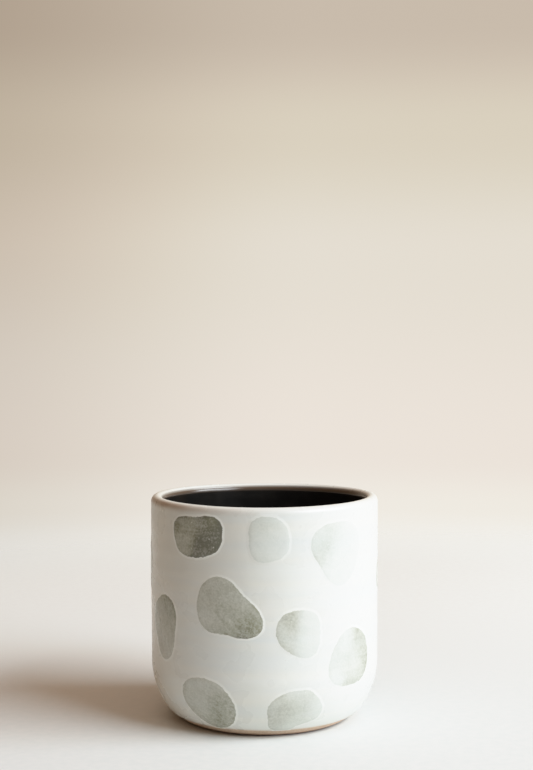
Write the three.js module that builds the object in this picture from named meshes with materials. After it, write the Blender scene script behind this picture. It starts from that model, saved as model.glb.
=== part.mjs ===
// A stoneware mug without a handle: a thrown clay body, white glaze outside and over the lip,
// black glaze inside, a bare bevelled foot, and brushed spots of grey-green glaze.
//
// Millimetres, +Z up. The origin is on the mug's axis, at the surface that it stands on.
// An azimuth is measured in degrees round the axis, from the front (-Y) towards +X.

import * as THREE from 'three';

// ---------------------------------------------------------------- driving dimensions

const MUG_HEIGHT = 80;
const RIM_RADIUS = 41; // finished outside at the rim
const WALL_LEAN = 0.2; // how much narrower the wall is where it meets the base corner
const LIP_THICKNESS = 4.3; // glaze included

const CORNER_HEIGHT = 21.4; // the wall starts to curve in to the foot below this
const CORNER_ROUNDNESS = 1.9; // exponent of the corner's curve: 2 is an ellipse
const FOOT_RADIUS = 27.5;
const FOOT_RING_WIDTH = 3.6; // flat ring that the mug stands on
const FOOT_RECESS = 1.2; // hollow trimmed under the base
const RECESS_SHOULDER = 1.4; // slope between the ring and the hollow

const FLOOR_TOP = 5.6; // inside floor above the surface that the mug stands on
const INNER_WALL_LEAN = 0.6;
const INNER_CORNER_HEIGHT = 19;
const INNER_FLOOR_RADIUS = 19;
const INNER_CORNER_ROUNDNESS = 2;

const GLAZE_THICKNESS = 0.4;
const LAYER_GAP = 0.05; // clearance between clay and glaze
const GLAZE_LINE = 2.7; // the white glaze stops this high above the foot

// The two glazes meet on the inner side of the lip. Degrees over the lip, from its outside.
const WHITE_ENDS = 150;
const BLACK_STARTS = 158;

const SPOT_THICKNESS = 0.2; // at its middle
const SPOT_CLEARANCE = 0.15; // keeps a flat-faceted spot clear of the curved glaze
const LOWEST_SPOT_EDGE = GLAZE_LINE + 0.4; // a spot that would run lower is cut off here

// How finely the round shapes are cut into flat faces.
const ROUND_SEGMENTS = 48;
const CORNER_STEPS = 8;
const LIP_STEPS = 8;
const SPOT_SPOKES = 20;
const SPOT_RINGS = 3;
const LOW_SPOT_RINGS = 4; // spots on the base corner follow a tighter curve

// ---------------------------------------------------------------- spots

// Each spot is a pebble shape: a rounded rectangle, wide by tall, turned by lean, and drawn out
// by the share called point into three soft corners, one of which looks in direction pointing.
// Angles run anticlockwise from the mug's right, as seen from outside.
const UPPER_SPOTS = [
  { azimuth: -34.5, height: 69.6, wide: 20.6, tall: 13.9, lean: 5, square: 3.5, point: 0.06, pointing: 153 },
  { azimuth: 1.9, height: 69.5, wide: 13.7, tall: 15.5, lean: 6, square: 2.7, point: 0.04, pointing: -2 },
  { azimuth: 38.3, height: 64.4, wide: 22.2, tall: 20.4, lean: -56, square: 2.2, point: 0.1, pointing: -86 },
  { azimuth: 88, height: 52.6, wide: 17, tall: 13.5, lean: 0, square: 2.2, point: 0.05, pointing: 90 },
  { azimuth: 124, height: 68, wide: 18, tall: 16, lean: -20, square: 2.4, point: 0.06, pointing: -60 },
  { azimuth: 160, height: 64, wide: 15.5, tall: 20, lean: 8, square: 2.1, point: 0.08, pointing: -90 },
  { azimuth: 197, height: 69, wide: 19.5, tall: 15, lean: 4, square: 2.8, point: 0.05, pointing: 30 },
  { azimuth: 235, height: 66, wide: 16, tall: 17, lean: 30, square: 2.3, point: 0.07, pointing: -100 },
  { azimuth: 272, height: 56, wide: 18, tall: 19, lean: 0, square: 2.2, point: 0.06, pointing: -90 },
];

const MIDDLE_SPOTS = [
  { azimuth: -58.8, height: 36.9, wide: 16.2, tall: 23.1, lean: 1, square: 1.9, point: 0.1, pointing: -76 },
  { azimuth: -18.9, height: 45.4, wide: 26, tall: 18.2, lean: -31, square: 1.9, point: 0.13, pointing: 96 },
  { azimuth: 17.1, height: 37.5, wide: 18.1, tall: 16.2, lean: -51, square: 1.7, point: 0.06, pointing: 172 },
  { azimuth: 47.2, height: 26.7, wide: 22.6, tall: 20.6, lean: 29, square: 1.7, point: 0.06, pointing: 91 },
  { azimuth: 109, height: 38, wide: 17, tall: 19.5, lean: 12, square: 2.2, point: 0.08, pointing: -95 },
  { azimuth: 144, height: 42, wide: 21, tall: 17, lean: -24, square: 2.1, point: 0.07, pointing: 100 },
  { azimuth: 180, height: 36, wide: 17, tall: 18, lean: -30, square: 2, point: 0.1, pointing: 180 },
  { azimuth: 216, height: 43, wide: 23, tall: 18, lean: 24, square: 2.2, point: 0.06, pointing: 70 },
  { azimuth: 252, height: 33, wide: 18, tall: 20, lean: 10, square: 2, point: 0.09, pointing: 90 },
];

const LOWER_SPOTS = [
  { azimuth: -29.2, height: 12.6, wide: 21.9, tall: 16.9, lean: -29, square: 2, point: 0.02, pointing: -74 },
  { azimuth: 14.6, height: 10.6, wide: 19.2, tall: 13.7, lean: 21, square: 4, point: 0.1, pointing: -124 },
  { azimuth: 96, height: 13, wide: 19, tall: 14, lean: -12, square: 2.3, point: 0.05, pointing: 90 },
  { azimuth: 142, height: 13.5, wide: 20, tall: 15, lean: 18, square: 2.2, point: 0.06, pointing: -60 },
  { azimuth: 188, height: 12.5, wide: 18, tall: 14.5, lean: -16, square: 2.5, point: 0.06, pointing: 110 },
  { azimuth: 234, height: 12.8, wide: 19.5, tall: 15.5, lean: 26, square: 2.1, point: 0.04, pointing: -80 },
];

// ---------------------------------------------------------------- finishes

const FINISHES = {
  clay: { color: 0xc6a384, roughness: 0.85 },
  white: { color: 0xe7e5de, roughness: 0.3 },
  black: { color: 0x171614, roughness: 0.18 },
  spot: { color: 0x9da297, roughness: 0.35 },
};

const radians = THREE.MathUtils.degToRad;

// ---------------------------------------------------------------- section: radius and height

// A quarter of a superellipse from the wall, where turn is 0, to the base, where it is 1.
function cornerPoint(corner, turn) {
  const angle = (turn * Math.PI) / 2;
  const reach = Math.cos(angle) ** (2 / corner.roundness);
  const drop = Math.sin(angle) ** (2 / corner.roundness);
  return new THREE.Vector2(
    corner.baseRadius + (corner.wallRadius - corner.baseRadius) * reach,
    corner.bottom + corner.height * (1 - drop),
  );
}

function cornerPoints(corner, fromTurn, toTurn) {
  const turnAt = (i) => THREE.MathUtils.lerp(fromTurn, toTurn, i / CORNER_STEPS);
  return Array.from({ length: CORNER_STEPS + 1 }, (_, i) => cornerPoint(corner, turnAt(i)));
}

const outerCorner = {
  bottom: 0,
  height: CORNER_HEIGHT,
  wallRadius: RIM_RADIUS - WALL_LEAN,
  baseRadius: FOOT_RADIUS,
  roundness: CORNER_ROUNDNESS,
};

const innerCorner = {
  bottom: FLOOR_TOP,
  height: INNER_CORNER_HEIGHT,
  wallRadius: RIM_RADIUS - LIP_THICKNESS - INNER_WALL_LEAN,
  baseRadius: INNER_FLOOR_RADIUS,
  roundness: INNER_CORNER_ROUNDNESS,
};

const lipRadius = LIP_THICKNESS / 2;
const lipCentre = new THREE.Vector2(RIM_RADIUS - lipRadius, MUG_HEIGHT - lipRadius);

// The turn at which the outer corner passes the glaze line.
const glazeLineAngle = Math.asin((1 - GLAZE_LINE / CORNER_HEIGHT) ** (CORNER_ROUNDNESS / 2));
const glazeLineTurn = (glazeLineAngle * 2) / Math.PI;

// Moves each point of a path into the clay, square to the path. The clay lies on the left of
// the path. A point on the axis stays on it.
function inset(path, depth) {
  return path.map((point, i) => {
    const before = path[Math.max(i - 1, 0)];
    const after = path[Math.min(i + 1, path.length - 1)];
    const along = after.clone().sub(before).normalize();
    const moved = new THREE.Vector2(point.x - along.y * depth, point.y + along.x * depth);
    return point.x === 0 ? new THREE.Vector2(0, moved.y) : moved;
  });
}

// Points over the round lip. The angles are in degrees, from the outside of the lip.
function lipPoints(fromAngle, toAngle, steps) {
  return Array.from({ length: steps + 1 }, (_, i) => {
    const angle = radians(THREE.MathUtils.lerp(fromAngle, toAngle, i / steps));
    return new THREE.Vector2(
      lipCentre.x + lipRadius * Math.cos(angle),
      lipCentre.y + lipRadius * Math.sin(angle),
    );
  });
}

// The finished outside, from the glaze line up over the lip to where the white glaze ends.
function whitePath() {
  return [...cornerPoints(outerCorner, glazeLineTurn, 0), ...lipPoints(0, WHITE_ENDS, LIP_STEPS)];
}

// The finished inside, from the lip's inner side down to the middle of the floor.
function blackPath() {
  return [
    ...lipPoints(BLACK_STARTS, 180, 1),
    ...cornerPoints(innerCorner, 0, 1),
    new THREE.Vector2(0, FLOOR_TOP),
  ];
}

// ---------------------------------------------------------------- turned pieces

function turned(profile) {
  const geometry = new THREE.LatheGeometry(profile, ROUND_SEGMENTS);
  return geometry.rotateX(Math.PI / 2);
}

// A coat of glaze between a finished surface and the clay. It closes on itself, or on the axis.
function glazeCoat(path) {
  const clayFace = inset(path, GLAZE_THICKNESS).reverse();
  const endsOnAxis = path.at(-1).x === 0;
  return turned([...clayFace, ...path, ...(endsOnAxis ? [] : [clayFace[0]])]);
}

// Bare clay under the glaze line: the foot, from the middle of the base to the bevel's top.
function footPath() {
  const ringInside = FOOT_RADIUS - FOOT_RING_WIDTH;
  const bevelMiddle = cornerPoint(outerCorner, (1 + glazeLineTurn) / 2);
  return [
    new THREE.Vector2(0, FOOT_RECESS),
    new THREE.Vector2(ringInside - RECESS_SHOULDER, FOOT_RECESS),
    new THREE.Vector2(ringInside, 0),
    new THREE.Vector2(FOOT_RADIUS, 0),
    bevelMiddle,
  ];
}

function clayBody() {
  const glazed = inset([...whitePath(), ...blackPath()], GLAZE_THICKNESS + LAYER_GAP);
  return turned([...footPath(), ...glazed]);
}

// ---------------------------------------------------------------- spots on the outside

// The finished outside at a height: its radius, and the direction square to it as a 2D vector.
function outsideAt(height) {
  const slopeStep = 0.01;
  const radiusAt = (z) => {
    if (z >= CORNER_HEIGHT) {
      return RIM_RADIUS - (WALL_LEAN * (MUG_HEIGHT - z)) / (MUG_HEIGHT - CORNER_HEIGHT);
    }
    const drop = 1 - z / CORNER_HEIGHT;
    const reach = (1 - drop ** CORNER_ROUNDNESS) ** (1 / CORNER_ROUNDNESS);
    return FOOT_RADIUS + (outerCorner.wallRadius - FOOT_RADIUS) * reach;
  };
  const slope = (radiusAt(height + slopeStep) - radiusAt(height - slopeStep)) / (2 * slopeStep);
  return { radius: radiusAt(height), square: new THREE.Vector2(1, -slope).normalize() };
}

// How far a spot reaches from its middle in a direction.
function spotReach(spot, direction) {
  const along = direction - radians(spot.lean);
  const across = Math.abs(Math.cos(along) / (spot.wide / 2)) ** spot.square;
  const upwards = Math.abs(Math.sin(along) / (spot.tall / 2)) ** spot.square;
  const rounded = (across + upwards) ** (-1 / spot.square);
  const pointed = 1 + spot.point * Math.cos(3 * (direction - radians(spot.pointing)));
  const down = Math.max(-Math.sin(direction), 0);
  return Math.min(rounded * pointed, (spot.height - LOWEST_SPOT_EDGE) / down);
}

// A point over the outside of the mug, at a share of a spot's reach in a direction.
function pointOverSpot(spot, direction, share, lift) {
  const reach = spotReach(spot, direction) * share;
  const height = spot.height + reach * Math.sin(direction);
  const aside = (reach * Math.cos(direction)) / outsideAt(spot.height).radius;
  const azimuth = radians(spot.azimuth) + aside;
  const { radius, square } = outsideAt(height);
  const r = radius + square.x * lift;
  return [r * Math.sin(azimuth), -r * Math.cos(azimuth), height + square.y * lift];
}

// A spot is a ball pressed flat onto the wall: its poles are at the spot's middle, its equator
// is the spot's edge, and its two halves are the spot's inner and outer faces.
function spotPad(spot, rings) {
  const ball = new THREE.SphereGeometry(1, SPOT_SPOKES, 2 * rings).rotateX(Math.PI / 2);
  const corners = ball.getAttribute('position');
  for (let i = 0; i < corners.count; i += 1) {
    const corner = new THREE.Vector3().fromBufferAttribute(corners, i);
    const direction = Math.atan2(corner.y, corner.x);
    const share = Math.hypot(corner.x, corner.y);
    const lift = SPOT_CLEARANCE + (SPOT_THICKNESS * (1 + corner.z)) / 2;
    corners.setXYZ(i, ...pointOverSpot(spot, direction, share, lift));
  }
  ball.computeVertexNormals();
  return ball;
}

// ---------------------------------------------------------------- assembly

function piece(name, geometry, finish) {
  const material = new THREE.MeshStandardMaterial({ ...FINISHES[finish], metalness: 0 });
  const mesh = new THREE.Mesh(geometry, material);
  mesh.name = name;
  return mesh;
}

const mug = new THREE.Group();
mug.add(piece('stoneware_body', clayBody(), 'clay'));
mug.add(piece('outer_white_glaze', glazeCoat(whitePath()), 'white'));
mug.add(piece('inner_black_glaze', glazeCoat(blackPath()), 'black'));

const spotRows = [
  { row: 'upper', spots: UPPER_SPOTS, rings: SPOT_RINGS },
  { row: 'middle', spots: MIDDLE_SPOTS, rings: SPOT_RINGS },
  { row: 'lower', spots: LOWER_SPOTS, rings: LOW_SPOT_RINGS },
];
for (const { row, spots, rings } of spotRows) {
  spots.forEach((spot, i) => mug.add(piece(`${row}_spot_${i + 1}`, spotPad(spot, rings), 'spot')));
}

export default mug;
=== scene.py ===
"""The looks of a stoneware mug without a handle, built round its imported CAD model.

Metres, +Z up. An azimuth is measured round the mug's axis, from the front (-Y) towards +X.
The mug is a clay body under a white glaze outside, a black glaze inside and brushed spots of
grey-green glaze. Every layer follows one ideal section, and one field of small hand-made
irregularities then moves them all together.
"""
import math

import bpy
import numpy as np
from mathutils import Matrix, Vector


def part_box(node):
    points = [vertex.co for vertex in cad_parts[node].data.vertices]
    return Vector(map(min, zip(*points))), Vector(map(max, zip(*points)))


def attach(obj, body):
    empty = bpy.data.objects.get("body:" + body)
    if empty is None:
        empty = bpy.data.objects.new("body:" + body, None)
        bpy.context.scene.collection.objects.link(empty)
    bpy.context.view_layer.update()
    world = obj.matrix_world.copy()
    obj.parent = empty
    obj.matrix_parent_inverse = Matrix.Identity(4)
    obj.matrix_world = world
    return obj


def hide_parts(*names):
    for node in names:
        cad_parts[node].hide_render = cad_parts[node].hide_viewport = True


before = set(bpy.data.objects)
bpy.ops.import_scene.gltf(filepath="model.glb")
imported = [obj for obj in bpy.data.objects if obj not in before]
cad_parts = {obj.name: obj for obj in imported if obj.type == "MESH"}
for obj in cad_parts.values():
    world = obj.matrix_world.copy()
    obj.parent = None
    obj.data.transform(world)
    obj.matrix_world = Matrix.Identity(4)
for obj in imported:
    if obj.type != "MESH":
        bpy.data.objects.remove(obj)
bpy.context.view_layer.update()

MM = 0.001
TURN = 2 * math.pi
TOUCHING = 0.01 * MM  # points nearer than this are in the same place

# ------------------------------------------------------------------ sizes read off the CAD model


def mesh_points(piece):
    """A mesh object's vertices, as an array."""
    flat = np.empty(len(piece.data.vertices) * 3)
    piece.data.vertices.foreach_get("co", flat)
    return flat.reshape(-1, 3)


def node_points(node):
    return mesh_points(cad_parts[node])


def standing_ring():
    """The inner and outer radius of the flat ring that the mug stands on."""
    x, y, z = node_points("stoneware_body").T
    radii = np.hypot(x, y)[z < TOUCHING]
    return radii.min(), radii.max()


def recess_height():
    """How far the middle of the base is hollowed out above the ring."""
    x, y, z = node_points("stoneware_body").T
    return z[np.hypot(x, y) < TOUCHING].min()


def inside_radius():
    """The radius inside the mug where the curve of the lip ends: the black glaze's top tenth."""
    x, y, z = node_points("inner_black_glaze").T
    return np.hypot(x, y)[z > 0.9 * z.max()].min()


GLAZE_THICKNESS = 0.4 * MM  # as in the CAD model
WHITE_LOW, WHITE_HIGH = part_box("outer_white_glaze")
BLACK_LOW, BLACK_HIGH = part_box("inner_black_glaze")
RING_INNER, RING_OUTER = standing_ring()
MUG_HEIGHT = WHITE_HIGH.z
RIM_RADIUS = WHITE_HIGH.x
GLAZE_LINE = WHITE_LOW.z
COLOUR_JOIN = BLACK_HIGH.z
INSIDE_RADIUS = inside_radius()
FLOOR_TOP = BLACK_LOW.z + GLAZE_THICKNESS
LIP_RADIUS = (RIM_RADIUS - INSIDE_RADIUS) / 2

# The curves between those sizes, as the CAD model has them.
WALL_LEAN = 0.2 * MM
CORNER_HEIGHT = 21.4 * MM
CORNER_ROUNDNESS = 1.9
INNER_WALL_LEAN = 0.6 * MM
INNER_CORNER_HEIGHT = 19 * MM
INNER_FLOOR_RADIUS = 19 * MM
INNER_CORNER_ROUNDNESS = 2

# ------------------------------------------------------------------ small tools


def smoothstep(low, high, value):
    """0 up to low, 1 from high on, and a smooth rise between them."""
    share = np.clip((value - low) / (high - low), 0, 1)
    return share * share * (3 - 2 * share)


def bump_at(middle, width, value):
    """A bell curve of height 1."""
    return np.exp(-(((value - middle) / width) ** 2))


def arc_lengths(path):
    """How far along a path each of its points is."""
    steps = np.hypot(*np.diff(path, axis=0).T)
    return np.concatenate([[0], np.cumsum(steps)])


def evenly(start, end, spacing):
    """Evenly spaced numbers from start to end, about spacing apart."""
    count = max(int(round((end - start) / spacing)), 1) + 1
    return np.linspace(start, end, count)


def points_along(path, lengths, at):
    """The points of a path at given distances along it."""
    return np.column_stack([np.interp(at, lengths, path[:, i]) for i in (0, 1)])


def resampled(path, spacing):
    """The same path with evenly spaced points."""
    lengths = arc_lengths(path)
    return points_along(path, lengths, evenly(0, lengths[-1], spacing))


def inset(path, depth):
    """Moves a path into the clay, which lies on its left, square to the path."""
    along = np.gradient(path, axis=0)
    along /= np.hypot(*along.T)[:, None]
    moved = path + np.column_stack([-along[:, 1], along[:, 0]]) * np.reshape(depth, (-1, 1))
    moved[path[:, 0] == 0, 0] = 0
    return moved


def mesh_object(name, points, faces):
    """A smoothly shaded mesh in the scene."""
    mesh = bpy.data.meshes.new(name)
    mesh.from_pydata(points.tolist(), [], faces)
    mesh.polygons.foreach_set("use_smooth", [True] * len(mesh.polygons))
    made = bpy.data.objects.new(name, mesh)
    bpy.context.scene.collection.objects.link(made)
    return made


def set_attribute(piece, name, values):
    """One number, or one vector, for each vertex."""
    kind, field = ("FLOAT", "value") if values.ndim == 1 else ("FLOAT_VECTOR", "vector")
    layer = piece.data.attributes.new(name, kind, "POINT")
    layer.data.foreach_set(field, values.astype(np.float32).ravel())


# ------------------------------------------------------------------ the ideal section

CORNER_POINTS = 200
LIP_POINTS = 80
SECTION_STEP = 0.1 * MM


def corner_arc(base, wall, bottom, height, roundness):
    """A quarter superellipse, from the base up to the wall, as radius and height."""
    turn = np.linspace(math.pi / 2, 0, CORNER_POINTS)
    reach = np.cos(turn) ** (2 / roundness)
    drop = np.sin(turn) ** (2 / roundness)
    return np.column_stack([base + (wall - base) * reach, bottom + height * (1 - drop)])


def lip_arc():
    """A half circle over the lip, from the outside to the inside."""
    turn = np.linspace(0, math.pi, LIP_POINTS)
    middle = RIM_RADIUS - LIP_RADIUS
    return np.column_stack([
        middle + LIP_RADIUS * np.cos(turn),
        MUG_HEIGHT - LIP_RADIUS + LIP_RADIUS * np.sin(turn),
    ])


def finished_section():
    """The glazed surface from the foot, up and over the lip, down to the middle of the floor."""
    outside = corner_arc(
        RING_OUTER, RIM_RADIUS - WALL_LEAN, 0, CORNER_HEIGHT, CORNER_ROUNDNESS
    )
    inside = corner_arc(
        INNER_FLOOR_RADIUS,
        INSIDE_RADIUS - INNER_WALL_LEAN,
        FLOOR_TOP,
        INNER_CORNER_HEIGHT,
        INNER_CORNER_ROUNDNESS,
    )
    return np.vstack([outside, lip_arc(), inside[::-1], [[0, FLOOR_TOP]]])


SECTION = resampled(finished_section(), SECTION_STEP)
LENGTHS = arc_lengths(SECTION)
TOP = int(np.argmax(SECTION[:, 1]))
GLAZE_START = float(np.interp(GLAZE_LINE, SECTION[:TOP, 1], LENGTHS[:TOP]))
JOIN_AT = float(np.interp(-COLOUR_JOIN, -SECTION[TOP:, 1], LENGTHS[TOP:]))
LIP_TOP = float(LENGTHS[TOP])
MIDDLE = LENGTHS[-1]  # the middle of the inside floor, where the section ends


def section_between(start, end, spacing):
    """A stretch of the finished surface, and how far along the surface each point is."""
    at = evenly(start, end, spacing)
    path = points_along(SECTION, LENGTHS, at)
    if end == MIDDLE:
        path[-1, 0] = 0
    return path, at


def outside_at(heights):
    """The outside's radius at each height, and the direction square to it."""
    wall = SECTION[:TOP]
    radii = np.interp(heights, wall[:, 1], wall[:, 0])
    step = 0.2 * MM
    above = np.interp(heights + step, wall[:, 1], wall[:, 0])
    below = np.interp(heights - step, wall[:, 1], wall[:, 0])
    slope = (above - below) / (2 * step)
    size = np.sqrt(1 + slope * slope)
    return radii, 1 / size, -slope / size


# ------------------------------------------------------------------ the potter's hand

THROWING_PITCH = 6.2 * MM
SLOW_PITCH = 1.7 * THROWING_PITCH
THROWING_DEPTH = 0.022 * MM
OVAL = 0.14 * MM
THREE_SIDED = 0.4 * OVAL
SWELL = 0.12 * MM
SWELL_MIDDLE, SWELL_REACH = 0.62, 0.2  # as shares of the mug's height
RIM_WAVE = 0.17 * MM


def thrown(points):
    """Moves points of the ideal mug to where the potter's hands left them.

    The angles added to the azimuth only choose where round the mug each unevenness lies."""
    x, y, z = points.T
    azimuth = np.arctan2(x, -y)
    share = np.clip(z / MUG_HEIGHT, 0, 1)
    rings = np.sin(TURN * z / THROWING_PITCH - azimuth)
    rings += 0.5 * np.sin(TURN * z / SLOW_PITCH - azimuth + 1.3)
    rings *= THROWING_DEPTH * smoothstep(0.05, 0.3, share) * (1 - smoothstep(0.9, 0.97, share))
    oval = OVAL * share * np.sin(2 * azimuth + 2.2)
    oval += THREE_SIDED * np.sin(3 * azimuth + TURN * share)
    swell = -SWELL * bump_at(SWELL_MIDDLE, SWELL_REACH, share) * np.cos(azimuth - 1.9)
    grown = 1 + (rings + oval * share + swell) / RIM_RADIUS
    rise = RIM_WAVE * share**3 * (0.35 * np.sin(azimuth + 0.4) - np.cos(2 * azimuth))
    return np.column_stack([x * grown, y * grown, z + rise])


def settle(piece):
    """Applies the hand-made irregularities to a piece built on the ideal section."""
    piece.data.vertices.foreach_set("co", thrown(mesh_points(piece)).ravel())
    piece.data.update()


# ------------------------------------------------------------------ turned layers

GLAZE_SEGMENTS = 448
CLAY_SEGMENTS = 320
WHITE_STEP = 0.62 * MM  # between the rows of points along each surface
BLACK_STEP = 0.7 * MM
BASE_STEP = 0.4 * MM
BEVEL_STEP = 0.25 * MM
COAT_BACK_STEP = 4 * MM
HIDDEN_CLAY_STEP = 2.5 * MM

COAT_ROLL = 0.7 * MM  # how far in from its edge the white coat is still rounding over
LINE_BEAD = 0.07 * MM  # the thicker bead along the glaze line
BEAD_MIDDLE, BEAD_REACH = 1.1 * MM, 0.6 * MM
COLOUR_LAP = 0.7 * MM  # how far the two glazes run past their join
LAP_DEPTH = 0.75 * GLAZE_THICKNESS  # how deep each of them lies under the other there

# Where the white glaze breaks to brown on the lip's shoulder, out from the very top of the lip.
BREAK_STARTS, BREAK_FULL = 0.7 * MM, 1.9 * MM
BREAK_FADES, BREAK_ENDS = 2.1 * MM, 4.8 * MM
BREAK_AZIMUTH = -1.3  # radians: it is strongest on the left
BREAK_FOCUS = 3.2
BREAK_LEAST = 0.05

LINE_BLUSH = 1.7 * MM  # how far up from the glaze line the clay shows through
JOIN_BLUSH_STARTS, JOIN_BLUSH_FULL = 1.3 * MM, 0.1 * MM  # before the join, in the white glaze
JOIN_BLUSH_BLACK = 1.6 * MM  # after the join, in the black glaze

RIPPLE_PITCH = 5 * MM  # the throwing rings of the inside
RIPPLE_DEPTH = 0.03 * MM
RIPPLE_STARTS, RIPPLE_FULL = 4 * MM, 12 * MM  # below the join
RIPPLE_CALM = 6 * MM  # they die out this near the floor's middle

RECESS_EDGE = 1.4 * MM  # the width of the curve between the recess and the ring
RECESS_DOME = 0.25 * MM  # how much higher the recess is in its middle
BARE_CLAY_ENDS = 0.5 * MM  # past the glaze line, under the glaze
HIDDEN_CLAY_STARTS = 2 * MM  # past the glaze line
UNDER_BEVEL_GAP = 0.02 * MM  # between the clay and the back of the glaze
UNDER_GLAZE_GAP = 0.05 * MM
CONTACT_SHADE_FULL, CONTACT_SHADE_ENDS = 1.6 * MM, 4.4 * MM  # how far from the ring's edge the clay is darkened by painted contact shade


def revolved(name, section, segments):
    """A closed turned surface, and the section point that each vertex comes from.

    The section ends on the axis at both ends, or it is a loop."""
    azimuth = np.arange(segments) * TURN / segments
    rows, points, row_of = [], [], []
    for i, (radius, height) in enumerate(section):
        if radius == 0:
            rows.append(np.full(segments, len(row_of)))
            points.append([[0, 0, height]])
            row_of.append(i)
            continue
        rows.append(len(row_of) + np.arange(segments))
        ring = [radius * np.sin(azimuth), -radius * np.cos(azimuth), np.full(segments, height)]
        points.append(np.column_stack(ring))
        row_of.extend([i] * segments)
    pairs = list(zip(rows, rows[1:]))
    if section[0, 0] > 0:
        pairs.append((rows[-1], rows[0]))
    faces = []
    for lower, upper in pairs:
        quads = np.column_stack([lower, np.roll(lower, -1), np.roll(upper, -1), upper])
        if lower[0] == lower[1]:
            quads = quads[:, [0, 2, 3]]
        elif upper[0] == upper[1]:
            quads = quads[:, [0, 1, 2]]
        faces.extend(quads.tolist())
    return mesh_object(name, np.vstack(points), faces), np.array(row_of)


def coat_edge(from_edge):
    """How deep a coat's surface lies near its edge, where it rolls over to the clay."""
    share = np.clip(1 - from_edge / COAT_ROLL, 0, 1)
    return GLAZE_THICKNESS * (1 - np.sqrt(1 - share * share))


def coat_back(start, end):
    """The face that a coat turns to the clay, from its end back to its start."""
    path, _ = section_between(start, end, COAT_BACK_STEP)
    return inset(path, GLAZE_THICKNESS)[::-1]


def outer_white_glaze():
    """The white glaze: a rolled edge at the glaze line, over the lip, and in under the black."""
    end = JOIN_AT + COLOUR_LAP
    path, at = section_between(GLAZE_START, end, WHITE_STEP)
    near = GLAZE_START + np.linspace(0, COAT_ROLL, 6)[:-1]
    beyond = at > GLAZE_START + COAT_ROLL
    path = np.vstack([points_along(SECTION, LENGTHS, near), path[beyond]])
    at = np.concatenate([near, at[beyond]])
    from_line = at - GLAZE_START
    depth = coat_edge(from_line) - LINE_BEAD * bump_at(BEAD_MIDDLE, BEAD_REACH, from_line)
    depth += LAP_DEPTH * smoothstep(JOIN_AT - COLOUR_LAP, end, at)
    back = coat_back(GLAZE_START, end)
    section = np.vstack([inset(path, depth), back])
    piece, rows = revolved("white_glaze", section, GLAZE_SEGMENTS)
    mark_white_glaze(piece, np.concatenate([at, np.full(len(back), LIP_TOP)])[rows])
    return piece


def mark_white_glaze(piece, along):
    """Attributes for where the white glaze changes colour: shoulder, glaze line and join."""
    before_top = LIP_TOP - along
    broken = smoothstep(BREAK_STARTS, BREAK_FULL, before_top)
    broken *= 1 - smoothstep(BREAK_FADES, BREAK_ENDS, before_top)
    set_attribute(piece, "shoulder", broken * broken_round(piece))
    set_attribute(piece, "line", 1 - smoothstep(0, LINE_BLUSH, along - GLAZE_START))
    darkening = smoothstep(JOIN_AT - JOIN_BLUSH_STARTS, JOIN_AT - JOIN_BLUSH_FULL, along)
    set_attribute(piece, "join", darkening)


def broken_round(piece):
    """How far the glaze breaks to brown round the lip: most on the left, hardly on the right."""
    x, y, _ = mesh_points(piece).T
    azimuth = np.arctan2(x, -y)
    focus = np.exp(BREAK_FOCUS * (np.cos(azimuth - BREAK_AZIMUTH) - 1))
    return BREAK_LEAST + (1 - BREAK_LEAST) * focus


def inner_black_glaze():
    """The black glaze, which laps over the white one just under the lip."""
    start = JOIN_AT - COLOUR_LAP
    path, at = section_between(start, MIDDLE, BLACK_STEP)
    depth = LAP_DEPTH * (1 - smoothstep(start, JOIN_AT + COLOUR_LAP, at))
    from_middle = MIDDLE - at
    ripple = np.sin(TURN * from_middle / RIPPLE_PITCH) * smoothstep(0, RIPPLE_CALM, from_middle)
    ripple *= smoothstep(JOIN_AT + RIPPLE_STARTS, JOIN_AT + RIPPLE_FULL, at)
    depth += RIPPLE_DEPTH * ripple
    back = coat_back(start, MIDDLE)
    section = np.vstack([back, inset(path, depth)])
    piece, rows = revolved("black_glaze", section, GLAZE_SEGMENTS)
    along = np.concatenate([np.full(len(back), MIDDLE), at])[rows]
    set_attribute(piece, "join", 1 - smoothstep(JOIN_AT, JOIN_AT + JOIN_BLUSH_BLACK, along))
    return piece


def clay_base():
    """The underside from the axis out to the ring's outer edge: the recess, its curve, the ring."""
    recess = recess_height()
    base = np.array([
        [0, recess + RECESS_DOME],
        [RING_INNER - 3 * RECESS_EDGE, recess],
        [RING_INNER - RECESS_EDGE, recess - 0.1 * MM],
        [RING_INNER - 0.45 * RECESS_EDGE, 0.35 * recess],
        [RING_INNER, 0.04 * MM],
        [RING_INNER + 0.4 * MM, 0],
        [RING_OUTER - 0.5 * MM, 0],
    ])
    base = resampled(base, BASE_STEP)
    base[0, 0] = 0
    return base


def stoneware_body():
    """The clay: bare on the base and the bevel, darkened near the ring's edge by painted contact
    shade, and hidden above.
    """
    base = clay_base()
    bevel, bevel_at = section_between(0, GLAZE_START + BARE_CLAY_ENDS, BEVEL_STEP)
    sink = (GLAZE_THICKNESS + UNDER_BEVEL_GAP) * smoothstep(0.2, 1.0, bevel_at / GLAZE_START)
    hidden, _ = section_between(GLAZE_START + HIDDEN_CLAY_STARTS, MIDDLE, HIDDEN_CLAY_STEP)
    hidden = inset(hidden, GLAZE_THICKNESS + UNDER_GLAZE_GAP)
    section = np.vstack([base, inset(bevel, sink), hidden])
    piece, rows = revolved("clay_body", section, CLAY_SEGMENTS)
    base_at = arc_lengths(base)
    from_edge = np.concatenate([base_at[-1] - base_at, bevel_at, np.full(len(hidden), MIDDLE)])
    set_attribute(piece, "contact_shade", 1 - smoothstep(CONTACT_SHADE_FULL, CONTACT_SHADE_ENDS, from_edge[rows]))
    return piece


# ------------------------------------------------------------------ brushed spots

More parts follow.
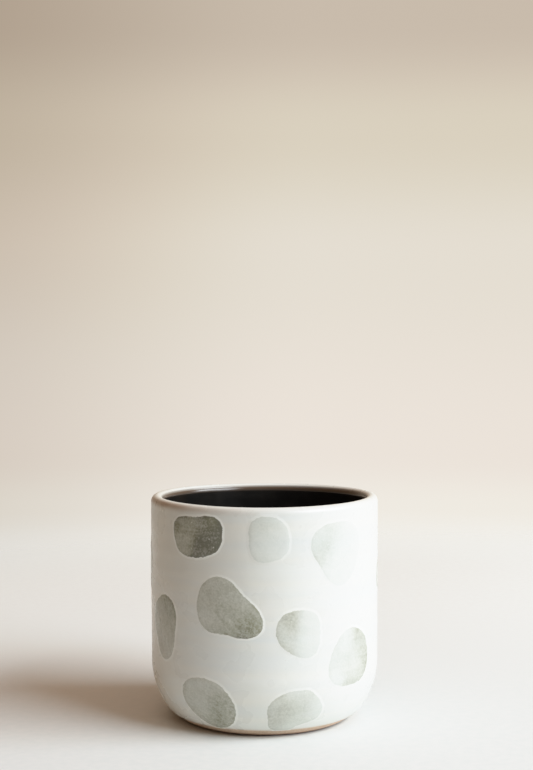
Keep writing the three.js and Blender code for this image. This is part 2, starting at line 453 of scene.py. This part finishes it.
# How each spot was brushed: how dense its pigment is; how much denser it pools towards one side;
# that side, in degrees anticlockwise from the right as seen from outside; and how far from the
# spot's middle the pool starts, as a share of its reach.
WASHES = {
    "upper_spot_1": (0.68, 0.38, -10, -0.45),
    "upper_spot_2": (0.25, 0.08, 120, 0.0),
    "upper_spot_3": (0.22, 0.16, 150, -0.1),
    "upper_spot_4": (0.46, 0.10, 180, -0.2),
    "upper_spot_5": (0.50, 0.20, 30, -0.4),
    "upper_spot_6": (0.34, 0.16, 200, -0.2),
    "upper_spot_7": (0.68, 0.14, 80, -0.3),
    "upper_spot_8": (0.44, 0.22, -60, -0.4),
    "upper_spot_9": (0.52, 0.10, 0, -0.2),
    "middle_spot_1": (0.50, 0.16, 100, -0.5),
    "middle_spot_2": (0.50, 0.21, -30, -0.5),
    "middle_spot_3": (0.27, 0.18, 175, -0.35),
    "middle_spot_4": (0.32, 0.22, -10, -0.6),
    "middle_spot_5": (0.56, 0.16, 120, -0.2),
    "middle_spot_6": (0.44, 0.22, -30, -0.4),
    "middle_spot_7": (0.58, 0.16, 200, -0.3),
    "middle_spot_8": (0.32, 0.22, 60, -0.4),
    "middle_spot_9": (0.60, 0.14, -90, -0.2),
    "lower_spot_1": (0.49, 0.16, -35, -0.3),
    "lower_spot_2": (0.35, 0.07, 190, -0.4),
    "lower_spot_3": (0.42, 0.18, 90, -0.3),
    "lower_spot_4": (0.54, 0.20, 0, -0.4),
    "lower_spot_5": (0.38, 0.20, 150, -0.2),
    "lower_spot_6": (0.50, 0.16, -40, -0.3),
}

SPOKES = 168
SPOKE_ANGLES = np.arange(SPOKES) * TURN / SPOKES
RAY_ACROSS, RAY_UP = np.cos(SPOKE_ANGLES), np.sin(SPOKE_ANGLES)
SPOT_HEIGHT = 0.13 * MM  # how far a spot stands proud in its middle
SPOT_SINK = 0.02 * MM  # how far its outer edge dips into the white glaze
SPOT_BACK = -0.3 * GLAZE_THICKNESS  # where its hidden back lies
DOME = 1.3 * MM  # how far in from its edge a spot starts to fall away
SKIRT = 1.5 * MM  # white glaze that rises to the spot round its edge
INNER_RINGS = np.linspace(0.1, 1, 12)  # as shares of the way out to the inner margin
INNER_MARGIN = 0.7 * MM
EDGE_RINGS = np.array([-0.5, -0.35, -0.22, -0.12, 0]) * MM  # past the spot's edge
SKIRT_RINGS = (0.1, 0.22, 0.4, 0.62, 0.82, 1)  # as shares of the skirt
LINE_MARGIN = 0.25 * MM  # between a spot and the glaze line

OUTLINE_DIRECTIONS = 72
ROUNDING = 1e-6  # a share this small counts as nothing
PARALLEL = 1e-12  # an edge this near to a ray's own direction is never crossed

OUTLINE_WAVES = 14  # the waves kept when a CAD outline is smoothed
WAVER_WAVES = range(4, 40)
WAVER = 0.024 * MM  # how big each wave of the brush's waver is
WAVER_FADES = 14  # the wave from which they get much smaller

POOL_REACH = 0.8  # how wide the change to the pool is, as a share of the spot's reach
CLOUDS = 4
CLOUD_WAVES = (2, 5)  # radians over the spot's reach, from the slowest cloud to the quickest
CLOUDING = 0.06  # how much each cloud changes the density
EDGE_DARKENING = 0.10  # a drying wash is a little denser along its edge
DARK_EDGE_MIDDLE, DARK_EDGE_REACH = -0.35 * MM, 0.4 * MM
THINNEST, THICKEST = 0.05, 1.1
BRUSH_TURN = 0.3  # radians that the strokes may lie off the pool's direction


def crossed(first, second):
    """The cross product of flat vectors."""
    return first[..., 0] * second[..., 1] - first[..., 1] * second[..., 0]


def reach_round(flat, edges):
    """How far a flat mesh reaches from the origin, in evenly spaced directions."""
    start = flat[edges[:, 0]]
    along = flat[edges[:, 1]] - start
    directions = np.arange(OUTLINE_DIRECTIONS) * TURN / OUTLINE_DIRECTIONS
    reach = []
    for ray in np.column_stack([np.cos(directions), np.sin(directions)]):
        slant = crossed(ray, along)
        usable = np.abs(slant) > PARALLEL
        distance = crossed(start, along)[usable] / slant[usable]
        share = crossed(start, ray)[usable] / slant[usable]
        hit = (share >= -ROUNDING) & (share <= 1 + ROUNDING)
        reach.append(distance[hit].max())
    return np.array(reach)


def spot_outline(node):
    """A CAD spot's middle, as azimuth and height, and how far it reaches all round."""
    points = node_points(node)
    middle = points.mean(axis=0)
    centre_azimuth = math.atan2(middle[0], -middle[1])
    azimuth = np.arctan2(points[:, 0], -points[:, 1]) - centre_azimuth
    azimuth = (azimuth + math.pi) % TURN - math.pi
    centre_height = float(middle[2])
    radius = float(outside_at(np.array([centre_height]))[0][0])
    flat = np.column_stack([azimuth * radius, points[:, 2] - centre_height])
    edges = np.array([e.vertices[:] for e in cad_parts[node].data.edges])
    return centre_azimuth, centre_height, reach_round(flat, edges)


def brushed_edge(reach, chance):
    """A reach for every spoke: the outline smoothed, with the small waver of a loaded brush."""
    waves = np.fft.rfft(reach)
    waves[OUTLINE_WAVES:] = 0
    fine = np.zeros(SPOKES // 2 + 1, complex)
    fine[: len(waves)] = waves * (SPOKES / len(reach))
    smooth = np.fft.irfft(fine, SPOKES)
    waver = np.zeros(SPOKES)
    for wave in WAVER_WAVES:
        size = WAVER / (1 + (wave / WAVER_FADES) ** 2) ** 0.5
        waver += size * chance.normal() * np.sin(wave * SPOKE_ANGLES + chance.uniform(0, TURN))
    return smooth + waver


def spot_rings(edge, skirt):
    """How far from the spot's middle each of its rings lies; the last two are its hidden back."""
    rings = [edge * share - INNER_MARGIN * share for share in INNER_RINGS]
    rings += [edge + past for past in EDGE_RINGS]
    rings += [edge + skirt * share for share in SKIRT_RINGS]
    rings += [edge + skirt, edge * 0.5]
    return np.array(rings)


def spot_lifts(past):
    """How far each ring's points lie off the white glaze's surface."""
    lift = -SPOT_SINK + (SPOT_HEIGHT + SPOT_SINK) * (1 - smoothstep(-DOME, SKIRT, past))
    lift[-2:] = SPOT_BACK
    return lift


def spot_faces(ring_count):
    """The faces of a spot whose first point is its middle and last point its back's middle."""
    rings = [1 + i * SPOKES + np.arange(SPOKES) for i in range(ring_count)]
    last = 1 + ring_count * SPOKES
    faces = [[0, a, b] for a, b in zip(rings[0], np.roll(rings[0], -1))]
    for low, high in zip(rings, rings[1:]):
        quads = np.column_stack([low, high, np.roll(high, -1), np.roll(low, -1)])
        faces.extend(quads.tolist())
    faces += [[last, b, a] for a, b in zip(rings[-1], np.roll(rings[-1], -1))]
    return faces


def with_middles(first, rings, last):
    """One value a point: the middle's, each ring's, and the back's middle's."""
    return np.concatenate([[first], rings.ravel(), [last]])


def over_spot(azimuth, height, across, up, lift):
    """Points of the ideal mug's outside, moved out by lift, for places across and up a spot."""
    radius = outside_at(np.array([height]))[0][0]
    heights = height + up
    radii, out, rise = outside_at(heights)
    turn = azimuth + across / radius
    r = radii + out * lift
    return np.column_stack([r * np.sin(turn), -r * np.cos(turn), heights + rise * lift])


def brushed_spot(node, chance):
    """One spot: a low dome of pigmented glaze, inside a skirt of white glaze that rises to it."""
    azimuth, height, reach = spot_outline(node)
    room = (height - GLAZE_LINE) / np.maximum(-RAY_UP, ROUNDING)
    edge = np.minimum(brushed_edge(reach, chance), room - 2 * LINE_MARGIN)
    skirt = np.minimum(SKIRT, room - edge - LINE_MARGIN)
    rings = spot_rings(edge, skirt)
    past = rings - edge
    across = with_middles(0, rings * RAY_ACROSS, 0)
    up = with_middles(0, rings * RAY_UP, 0)
    lift = with_middles(SPOT_HEIGHT, spot_lifts(past), SPOT_BACK)
    points = over_spot(azimuth, height, across, up, lift)
    piece = mesh_object(node.replace("spot", "brushed_spot"), points, spot_faces(len(rings)))

    size = edge.mean()
    past = with_middles(-size, past, -size)
    set_attribute(piece, "wash", spot_wash(WASHES[node], across / size, up / size, past, chance))
    set_attribute(piece, "past_edge", past)
    set_attribute(piece, "brush", brush_places(WASHES[node], across, up, chance))
    return piece


def spot_wash(wash, across, up, past, chance):
    """How dense the pigment is at each point, for places as shares of the spot's reach."""
    dense, pool, side, pool_start = wash
    side = math.radians(side)
    towards = across * math.cos(side) + up * math.sin(side)
    density = dense + pool * smoothstep(pool_start, pool_start + POOL_REACH, towards)
    for _ in range(CLOUDS):
        angle, phase = chance.uniform(0, TURN), chance.uniform(0, TURN)
        cloud = across * math.cos(angle) + up * math.sin(angle)
        density = density * (1 + CLOUDING * np.sin(chance.uniform(*CLOUD_WAVES) * cloud + phase))
    density = density * (1 + EDGE_DARKENING * bump_at(DARK_EDGE_MIDDLE, DARK_EDGE_REACH, past))
    return np.clip(density, THINNEST, THICKEST)


def brush_places(wash, across, up, chance):
    """Each point's place along and across the brush's strokes, and a number for the spot."""
    _, _, side, _ = wash
    brush = math.radians(side) + chance.uniform(-BRUSH_TURN, BRUSH_TURN)
    along = across * math.cos(brush) + up * math.sin(brush)
    aside = -across * math.sin(brush) + up * math.cos(brush)
    return np.column_stack([along, aside, np.full(len(along), chance.uniform(0, 1))])


# ------------------------------------------------------------------ material tools


def new_material(name):
    """A material, its node tree and its shader."""
    material = bpy.data.materials.new(name)
    material.use_nodes = True
    tree = material.node_tree
    return material, tree, tree.nodes["Principled BSDF"]


USUAL = (0.3, 0.7)  # where most of a noise's values lie
MIX_COLOUR_INPUTS = (0, 6, 7)  # a Mix node's sockets for the amount and the two colours
MIX_COLOUR_OUTPUT = 2


def feed(tree, socket, value):
    """Gives a socket a value, or links another socket to it."""
    if isinstance(value, bpy.types.NodeSocket):
        tree.links.new(value, socket)
    else:
        socket.default_value = value


def add(tree, kind, settings=None, **inputs):
    """A shader node, with its settings, and its inputs given as values or as other sockets."""
    made = tree.nodes.new("ShaderNode" + kind)
    for name, value in (settings or {}).items():
        setattr(made, name, value)
    for name, value in inputs.items():
        feed(tree, made.inputs[name.replace("_", " ")], value)
    return made


def calculate(tree, operation, first, second=0.0, clamp=False):
    """The result of an operation on two numbers or sockets."""
    made = add(tree, "Math", {"operation": operation, "use_clamp": clamp})
    for socket, value in zip(made.inputs, (first, second)):
        feed(tree, socket, value)
    return made.outputs[0]


def mixed(tree, amount, first, second, how="MIX"):
    """A colour between two colours."""
    made = add(tree, "Mix", {"data_type": "RGBA", "blend_type": how})
    for index, value in zip(MIX_COLOUR_INPUTS, (amount, first, second)):
        is_colour = isinstance(value, tuple)
        feed(tree, made.inputs[index], (*value, 1) if is_colour else value)
    return made.outputs[MIX_COLOUR_OUTPUT]


def ranged(tree, value, from_low, from_high, to_low=0.0, to_high=1.0):
    """A value carried smoothly from one range to another, and held at its ends."""
    made = add(
        tree, "MapRange", {"interpolation_type": "SMOOTHSTEP"},
        Value=value, From_Min=from_low, From_Max=from_high, To_Min=to_low, To_Max=to_high,
    )
    return made.outputs[0]


def place(tree, stretch=(1, 1, 1)):
    """The place on the mug, in metres, stretched along the axes."""
    coordinates = add(tree, "TexCoord").outputs["Object"]
    return add(tree, "Mapping", Vector=coordinates, Scale=stretch).outputs[0]


def noise(tree, where, scale, detail=2.0, roughness=0.5):
    """Cloudy noise from 0 to 1, with about scale clouds a metre."""
    made = add(tree, "TexNoise", Vector=where, Scale=scale, Detail=detail, Roughness=roughness)
    return made.outputs[0]


def attribute(tree, name, output="Fac"):
    """The number, or the vector, that the mesh carries under a name."""
    return add(tree, "Attribute", {"attribute_name": name}).outputs[output]


def specks(tree, per_metre, radius, share):
    """Small dots of about this radius, in a share of the cells."""
    cells = add(tree, "TexVoronoi", Vector=place(tree), Scale=per_metre)
    rim = radius * per_metre
    dot = ranged(tree, cells.outputs["Distance"], rim, 0.6 * rim)
    picked = add(tree, "SeparateColor", Color=cells.outputs["Color"]).outputs[0]
    return calculate(tree, "MULTIPLY", dot, calculate(tree, "GREATER_THAN", picked, 1 - share))


# ------------------------------------------------------------------ materials

WHITE = (0.81, 0.805, 0.742)
WHITE_COOL = (0.74, 0.77, 0.752)
# Thinner glaze in random clouds, and also the painted shade of the mug's left side
WHITE_THIN_AND_SHADED = (0.74, 0.69, 0.59)
# Paler white round the spots, partly the glaze's own and partly painted highlight
WHITE_HALO_AND_HIGHLIGHT = (0.91, 0.915, 0.865)
WHITE_IRON_SPECK = (0.20, 0.14, 0.09)
WHITE_TAN_SPECK = (0.52, 0.44, 0.34)
WHITE_BREAK = (0.40, 0.275, 0.19)
WHITE_OVER_CLAY = (0.60, 0.43, 0.30)
WHITE_AT_JOIN = (0.13, 0.085, 0.055)

PIGMENT_THIN = (0.39, 0.45, 0.39)
PIGMENT_THICK = (0.235, 0.233, 0.152)
PIGMENT_DEEP = (0.165, 0.165, 0.125)

BLACK = (0.008, 0.0075, 0.007)
BLACK_WARM = (0.018, 0.014, 0.011)
BLACK_SPECK = (0.06, 0.05, 0.04)
BLACK_AT_JOIN = (0.10, 0.062, 0.04)

CLAY_DARK = (0.64, 0.46, 0.33)
CLAY_PALE = (0.78, 0.60, 0.46)
CLAY_TRIMMED = (0.52, 0.34, 0.23)
CLAY_IRON_SPECK = (0.24, 0.15, 0.10)
CLAY_GRIT = (0.82, 0.74, 0.62)
# Painted contact shade where the foot meets the floor
CLAY_IN_CONTACT_SHADE = (0.32, 0.125, 0.07)

WHITE_RELIEF = 0.06 * MM  # how deep each surface's bump is
BLACK_RELIEF = 0.08 * MM
CLAY_RELIEF = 0.12 * MM

# Where the painted shade of the mug's left side starts and is full
LEFT_SHADE_STARTS, LEFT_SHADE_FULL = -0.55 * RIM_RADIUS, -1.05 * RIM_RADIUS  # along X
HALO_STARTS, HALO_FULL = 1.45 * MM, -0.1 * MM  # past the spot's edge
PIGMENT_STARTS, PIGMENT_FULL = 0.1 * MM, -0.16 * MM  # past the spot's edge
RAGGEDNESS = 0.6 * MM  # how widely the pigment's grains swing that edge
THIN_TO_THICK = (0.24, 0.5)  # the washes between which each tint turns to the next
THICK_TO_DEEP = (0.75, 1.0)


def white_surface(tree):
    """The white glaze's colour, its roughness and the height of its fine surface.

    It is painted a little darker and warmer on the left side of the mug: painted shade, away from
    the window."""
    throwing = noise(tree, place(tree, (0.35, 0.35, 4)), 45, 2)
    cloud = noise(tree, place(tree), 30, 1)
    colour = mixed(tree, ranged(tree, throwing, 0.2, 0.8), WHITE, WHITE_COOL)
    colour = mixed(tree, ranged(tree, cloud, 0.3, 0.9, 0, 0.25), colour, WHITE_THIN_AND_SHADED)
    across = add(tree, "SeparateXYZ", Vector=place(tree)).outputs["X"]
    # Painted shade: the left side, away from the window, is darkened and warmed in the colour
    # itself
    painted_left_shade = ranged(tree, across, LEFT_SHADE_STARTS, LEFT_SHADE_FULL, 0, 0.7)
    colour = mixed(tree, painted_left_shade, colour, WHITE_THIN_AND_SHADED)
    colour = mixed(tree, specks(tree, 130, 0.17 * MM, 0.10), colour, WHITE_IRON_SPECK)
    colour = mixed(tree, specks(tree, 420, 0.1 * MM, 0.05), colour, WHITE_TAN_SPECK)
    rough = ranged(tree, noise(tree, place(tree), 90, 3), *USUAL, 0.24, 0.36)
    peel = noise(tree, place(tree), 420, 1)
    ripple = noise(tree, place(tree, (0.4, 0.4, 3)), 150, 2)
    height = calculate(tree, "ADD", calculate(tree, "MULTIPLY", peel, 0.5), ripple)
    return colour, rough, height


def finish_surface(tree, shader, colour, rough, height, depth, strength=0.5):
    """Links a surface's colour, roughness and bump to its shader."""
    tree.links.new(colour, shader.inputs["Base Color"])
    tree.links.new(rough, shader.inputs["Roughness"])
    bump = add(tree, "Bump", Height=height, Distance=depth, Strength=strength)
    tree.links.new(bump.outputs[0], shader.inputs["Normal"])


def white_glaze_material():
    """The white glaze, brown where it breaks on the lip, and tinted at its line and its join."""
    material, tree, shader = new_material("white_glaze")
    colour, rough, height = white_surface(tree)
    patchy = ranged(tree, noise(tree, place(tree, (1, 1, 0.5)), 90, 3), 0.3, 0.6, 0.6, 0.95)
    shoulder = calculate(tree, "MULTIPLY", attribute(tree, "shoulder"), patchy)
    colour = mixed(tree, shoulder, colour, WHITE_BREAK)
    line = calculate(tree, "MULTIPLY", attribute(tree, "line"), 0.7)
    colour = mixed(tree, line, colour, WHITE_OVER_CLAY)
    colour = mixed(tree, attribute(tree, "join"), colour, WHITE_AT_JOIN)
    finish_surface(tree, shader, colour, rough, height, WHITE_RELIEF)
    return material


def black_glaze_material():
    """The glossy black glaze, with warm clouds and specks, browner at its join."""
    material, tree, shader = new_material("black_glaze")
    cloud = noise(tree, place(tree), 70, 3)
    colour = mixed(tree, ranged(tree, cloud, 0.4, 0.8), BLACK, BLACK_WARM)
    colour = mixed(tree, specks(tree, 260, 0.12 * MM, 0.12), colour, BLACK_SPECK)
    colour = mixed(tree, attribute(tree, "join"), colour, BLACK_AT_JOIN)
    rough = ranged(tree, noise(tree, place(tree), 110, 3), *USUAL, 0.12, 0.24)
    height = noise(tree, place(tree, (0.5, 0.5, 2.5)), 160, 2)
    finish_surface(tree, shader, colour, rough, height, BLACK_RELIEF)
    return material


def clay_material():
    """Bare speckled stoneware: grainy, with the trimming tool's rings, and painted contact shade
    near the edge.
    """
    material, tree, shader = new_material("bare_stoneware")
    trimming = noise(tree, place(tree, (0.3, 0.3, 14)), 120, 2)
    grain = noise(tree, place(tree), 1500, 3, 0.65)
    colour = mixed(tree, ranged(tree, grain, *USUAL), CLAY_DARK, CLAY_PALE)
    colour = mixed(tree, ranged(tree, trimming, 0.4, 0.7, 0, 0.25), colour, CLAY_TRIMMED)
    colour = mixed(tree, specks(tree, 600, 0.14 * MM, 0.16), colour, CLAY_IRON_SPECK)
    colour = mixed(tree, specks(tree, 420, 0.16 * MM, 0.10), colour, CLAY_GRIT)
    # Painted contact shade: the clay nearest the floor is darkened to red-brown
    contact_shade = calculate(tree, "MULTIPLY", attribute(tree, "contact_shade"), 0.8)
    colour = mixed(tree, contact_shade, colour, CLAY_IN_CONTACT_SHADE)
    rough = ranged(tree, grain, *USUAL, 0.7, 0.9)
    height = calculate(tree, "ADD", grain, calculate(tree, "MULTIPLY", trimming, 1.5))
    finish_surface(tree, shader, colour, rough, height, CLAY_RELIEF, 0.7)
    return material


def uneven_pigment(tree, wash, grains):
    """The wash's density, swung by brush strokes, clouds and grains, with pale pinholes."""
    brush = attribute(tree, "brush", "Vector")
    strokes = add(tree, "Mapping", Vector=brush, Scale=(0.12, 1, 1)).outputs[0]
    dense = wash
    for pattern, amount in (
        (noise(tree, strokes, 900, 2), 0.14),
        (noise(tree, place(tree), 150, 2, 0.6), 0.18),
        (noise(tree, place(tree), 520, 2, 0.6), 0.14),
        (grains, 0.28),
    ):
        swing = ranged(tree, pattern, *USUAL, 1 - amount / 2, 1 + amount / 2)
        dense = calculate(tree, "MULTIPLY", dense, swing)
    pale = calculate(tree, "MULTIPLY", specks(tree, 650, 0.24 * MM, 0.18), 0.7)
    return calculate(tree, "MULTIPLY", dense, calculate(tree, "SUBTRACT", 1.0, pale))


def spot_material():
    """Pigment brushed on the white glaze, ragged at its edge, in a halo of paler white: partly the
    glaze's own, partly a painted highlight of the spot's raised edge.
    """
    material, tree, shader = new_material("spot_glaze")
    white, rough, height = white_surface(tree)
    past_edge = attribute(tree, "past_edge")
    wash = attribute(tree, "wash")
    near_edge = ranged(tree, past_edge, HALO_STARTS, HALO_FULL)
    # Partly painted highlight: a paler ring of white round each spot, where its raised edge catches
    # the light
    halo = calculate(tree, "MULTIPLY", near_edge, wash, clamp=True)
    white = mixed(tree, halo, white, WHITE_HALO_AND_HIGHLIGHT)
    grains = noise(tree, place(tree), 1500, 2, 0.6)
    dense = uneven_pigment(tree, wash, grains)
    ragged = calculate(tree, "MULTIPLY", calculate(tree, "SUBTRACT", grains, 0.5), RAGGEDNESS)
    ragged_edge = calculate(tree, "ADD", past_edge, ragged)
    pigment = ranged(tree, ragged_edge, PIGMENT_STARTS, PIGMENT_FULL)
    dense = calculate(tree, "MULTIPLY", dense, pigment, clamp=True)
    tint = mixed(tree, ranged(tree, wash, *THIN_TO_THICK), PIGMENT_THIN, PIGMENT_THICK)
    tint = mixed(tree, ranged(tree, wash, *THICK_TO_DEEP), tint, PIGMENT_DEEP)
    colour = mixed(tree, dense, white, tint)
    finish_surface(tree, shader, colour, rough, height, WHITE_RELIEF)
    return material


# ------------------------------------------------------------------ putting the mug together


def put(piece, node, material):
    """Finishes a piece and puts it in the place of its CAD node."""
    settle(piece)
    piece.data.materials.append(material)
    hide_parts(node)
    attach(piece, "root")


put(stoneware_body(), "stoneware_body", clay_material())
put(outer_white_glaze(), "outer_white_glaze", white_glaze_material())
put(inner_black_glaze(), "inner_black_glaze", black_glaze_material())

spot_finish = spot_material()
spot_chance = np.random.default_rng(7)
for spot_node in WASHES:
    put(brushed_spot(spot_node, spot_chance), spot_node, spot_finish)

# ------------------------------------------------------------------ camera, floor, light

CAMERA_DISTANCE = 0.514
CAMERA_HEIGHT = 0.1389
CAMERA_ASIDE = 0.0007
CAMERA_DOWN = 2.16  # degrees
LENS = 66.6  # millimetres, as is the sensor's width
SENSOR_WIDTH = 36

FLOOR_SPOKES = 96
FLOOR_RINGS = (0.05, 0.12, 0.25, 0.45, 0.65)
FLOOR_NEAR = (0.72, 0.75, 0.74)
# Painted sheen: the floor's colour is lighter towards the back, where it would reflect the backdrop
FLOOR_FAR_SHEEN = (0.92, 0.945, 0.91)
FLOOR_GRAIN = (0.84, 0.84, 0.82)
NEAR_TO_FAR = (-0.1, 0.3)  # along Y
FADE_SHIFT = (-0.08, -0.02, 0)  # puts the middle of the fade a little to the right and behind
FADE_STARTS, FADE_ENDS = 0.24, 0.54

# What the backdrop looks like, and the fill light that it casts: a colour for each angle above
# the horizon, in degrees.
BACKDROP = [
    (-40, (0.86, 0.84, 0.79)),
    (-14, (0.98, 0.98, 0.93)),
    (-9, (1.0, 0.99, 0.93)),
    (-7, (0.92, 0.86, 0.77)),
    (-5, (0.87, 0.785, 0.70)),
    (3, (0.80, 0.735, 0.64)),
    (8, (0.70, 0.63, 0.52)),
    (12, (0.58, 0.50, 0.41)),
    (40, (0.45, 0.38, 0.30)),
]
FILL_LIGHT = [
    (-10, (0.02, 0.013, 0.008)),
    (10, (0.025, 0.016, 0.009)),
    (40, (0.12, 0.078, 0.044)),
    (85, (0.82, 0.57, 0.43)),
]
DIMMER_LEFT = (0.76, 0.75, 0.745)
WARMER_LEFT = (0.96, 0.91, 0.86)
MIRRORED_LEFT = (0.8, 0.7, 0.58)
FRONT_FILL = 1.5

# Where each of those starts and is full, by the X, Y or Z of the direction looked in.
DIMMER_X = (0.04, -0.24)
WARMER_Z = (-0.03, 0.08)
MIRRORED_X = (-0.45, -0.85)
FRONT_Y = (0.3, -0.8)

WINDOW_AZIMUTH = 67  # degrees, as is its elevation
WINDOW_ELEVATION = 34
WINDOW_DISTANCE = 1.6
WINDOW_WIDTH = 1.4
WINDOW_HEIGHT = 0.8
WINDOW_POWER = 40
WINDOW_COLOUR = (0.91, 1.0, 1.07)

BRIGHTEST = 1.6  # the brightness that is shown as white
FILM_CURVE = ((0.5, 0.5), (0.75, 0.74), (1.0, 0.9), (1.28, 0.965))  # brightness, shown


def make_camera():
    """The photograph's view of the mug."""
    data = bpy.data.cameras.new("camera")
    data.lens = LENS
    data.sensor_width = SENSOR_WIDTH
    camera = bpy.data.objects.new("camera", data)
    camera.location = (CAMERA_ASIDE, -CAMERA_DISTANCE, CAMERA_HEIGHT)
    camera.rotation_euler = (math.radians(90 - CAMERA_DOWN), 0, 0)
    bpy.context.scene.collection.objects.link(camera)
    bpy.context.scene.camera = camera


def floor_mesh():
    """A round flat mesh, in rings."""
    spokes = np.arange(FLOOR_SPOKES) * TURN / FLOOR_SPOKES
    points = [[0, 0, 0]]
    points += [[r * math.cos(a), r * math.sin(a), 0] for r in FLOOR_RINGS for a in spokes]
    around = [(i, (i + 1) % FLOOR_SPOKES) for i in range(FLOOR_SPOKES)]
    faces = [[0, 1 + i, 1 + j] for i, j in around]
    for ring in range(len(FLOOR_RINGS) - 1):
        low = 1 + ring * FLOOR_SPOKES
        high = low + FLOOR_SPOKES
        faces += [[low + i, high + i, high + j, low + j] for i, j in around]
    return mesh_object("floor", np.array(points, float), faces)


def floor_material():
    """Pale matt paper, painted lighter towards the back as a painted sheen of the backdrop, that
    fades out into the backdrop.
    """
    material, tree, shader = new_material("floor")
    where = place(tree)
    paper = noise(tree, where, 300, 3)
    depth = add(tree, "SeparateXYZ", Vector=where).outputs["Y"]
    # Painted sheen towards the back of the floor
    colour = mixed(tree, ranged(tree, depth, *NEAR_TO_FAR), FLOOR_NEAR, FLOOR_FAR_SHEEN)
    colour = mixed(tree, ranged(tree, paper, *USUAL, 0, 0.3), colour, FLOOR_GRAIN)
    tree.links.new(colour, shader.inputs["Base Color"])
    shader.inputs["Roughness"].default_value = 0.8
    shader.inputs["Specular IOR Level"].default_value = 0.15
    from_middle = add(tree, "Mapping", Vector=where, Location=FADE_SHIFT).outputs[0]
    away = add(tree, "VectorMath", {"operation": "LENGTH"}, Vector=from_middle)
    faded = ranged(tree, away.outputs["Value"], FADE_STARTS, FADE_ENDS)
    blend = add(tree, "MixShader", Fac=faded)
    tree.links.new(shader.outputs[0], blend.inputs[1])
    tree.links.new(add(tree, "BsdfTransparent").outputs[0], blend.inputs[2])
    tree.links.new(blend.outputs[0], tree.nodes["Material Output"].inputs["Surface"])
    return material


def make_floor():
    """The floor, which is staging and not part of the mug."""
    floor = floor_mesh()
    floor.data.materials.append(floor_material())


def height_ramp(tree, height, stops):
    """Colours by how high the direction looked in is, from the stops' angles in degrees."""
    level = calculate(tree, "ADD", calculate(tree, "MULTIPLY", height, 0.5), 0.5)
    ramp = add(tree, "ValToRGB", Fac=level)
    ramp.color_ramp.interpolation = "EASE"
    elements = ramp.color_ramp.elements
    while len(elements) < len(stops):
        elements.new(0.5)
    for element, (degrees, colour) in zip(elements, stops):
        element.position = 0.5 + 0.5 * math.sin(math.radians(degrees))
        element.color = (*colour, 1)
    return ramp.outputs[0]


def backdrop_colour(tree, height, aside):
    """A warm beige, dimmer and warmer towards the left. Reflections find it dimmer still there."""
    seen = height_ramp(tree, height, BACKDROP)
    to_left = ranged(tree, aside, *DIMMER_X)
    seen = mixed(tree, to_left, seen, DIMMER_LEFT, "MULTIPLY")
    above_floor = ranged(tree, height, *WARMER_Z)
    warm_left = calculate(tree, "MULTIPLY", to_left, above_floor)
    seen = mixed(tree, warm_left, seen, WARMER_LEFT, "MULTIPLY")
    is_mirrored = add(tree, "LightPath").outputs["Is Glossy Ray"]
    mirrored = calculate(tree, "MULTIPLY", ranged(tree, aside, *MIRRORED_X), is_mirrored)
    return mixed(tree, mirrored, seen, MIRRORED_LEFT, "MULTIPLY")


def make_backdrop():
    """A backdrop that is seen bright, and casts a dim warm fill: mostly from above and in front."""
    world = bpy.data.worlds.new("backdrop")
    world.use_nodes = True
    bpy.context.scene.world = world
    tree = world.node_tree
    direction = add(tree, "SeparateXYZ", Vector=add(tree, "TexCoord").outputs["Generated"])
    height, aside = direction.outputs["Z"], direction.outputs["X"]
    seen_light = add(tree, "Background", Color=backdrop_colour(tree, height, aside))
    from_front = ranged(tree, direction.outputs["Y"], *FRONT_Y, 1.0, FRONT_FILL)
    fill = height_ramp(tree, height, FILL_LIGHT)
    fill_light = add(tree, "Background", Color=fill, Strength=from_front)
    choice = add(tree, "MixShader", Fac=add(tree, "LightPath").outputs["Is Diffuse Ray"])
    tree.links.new(seen_light.outputs[0], choice.inputs[1])
    tree.links.new(fill_light.outputs[0], choice.inputs[2])
    tree.links.new(choice.outputs[0], tree.nodes["World Output"].inputs["Surface"])


def make_window():
    """One wide soft light, high on the right and a little to the front."""
    data = bpy.data.lights.new("window", "AREA")
    data.shape = "RECTANGLE"
    data.size, data.size_y = WINDOW_WIDTH, WINDOW_HEIGHT
    data.energy, data.color = WINDOW_POWER, WINDOW_COLOUR
    light = bpy.data.objects.new("window", data)
    turn, rise = math.radians(WINDOW_AZIMUTH), math.radians(WINDOW_ELEVATION)
    level = math.cos(rise)
    towards = Vector((math.sin(turn) * level, -math.cos(turn) * level, math.sin(rise)))
    light.location = towards * WINDOW_DISTANCE
    light.rotation_euler = towards.to_track_quat("Z", "Y").to_euler()
    light.visible_camera = False
    bpy.context.scene.collection.objects.link(light)


def soften_highlights():
    """Rolls the brightest whites off gently, as film does."""
    view = bpy.context.scene.view_settings
    view.view_transform = "Standard"
    view.use_curve_mapping = True
    mapping = view.curve_mapping
    mapping.white_level = (BRIGHTEST, BRIGHTEST, BRIGHTEST)
    all_colours = mapping.curves[3]
    for bright, shown in FILM_CURVE:
        all_colours.points.new(bright / BRIGHTEST, shown)
    mapping.update()


make_camera()
make_floor()
make_backdrop()
make_window()
soften_highlights()
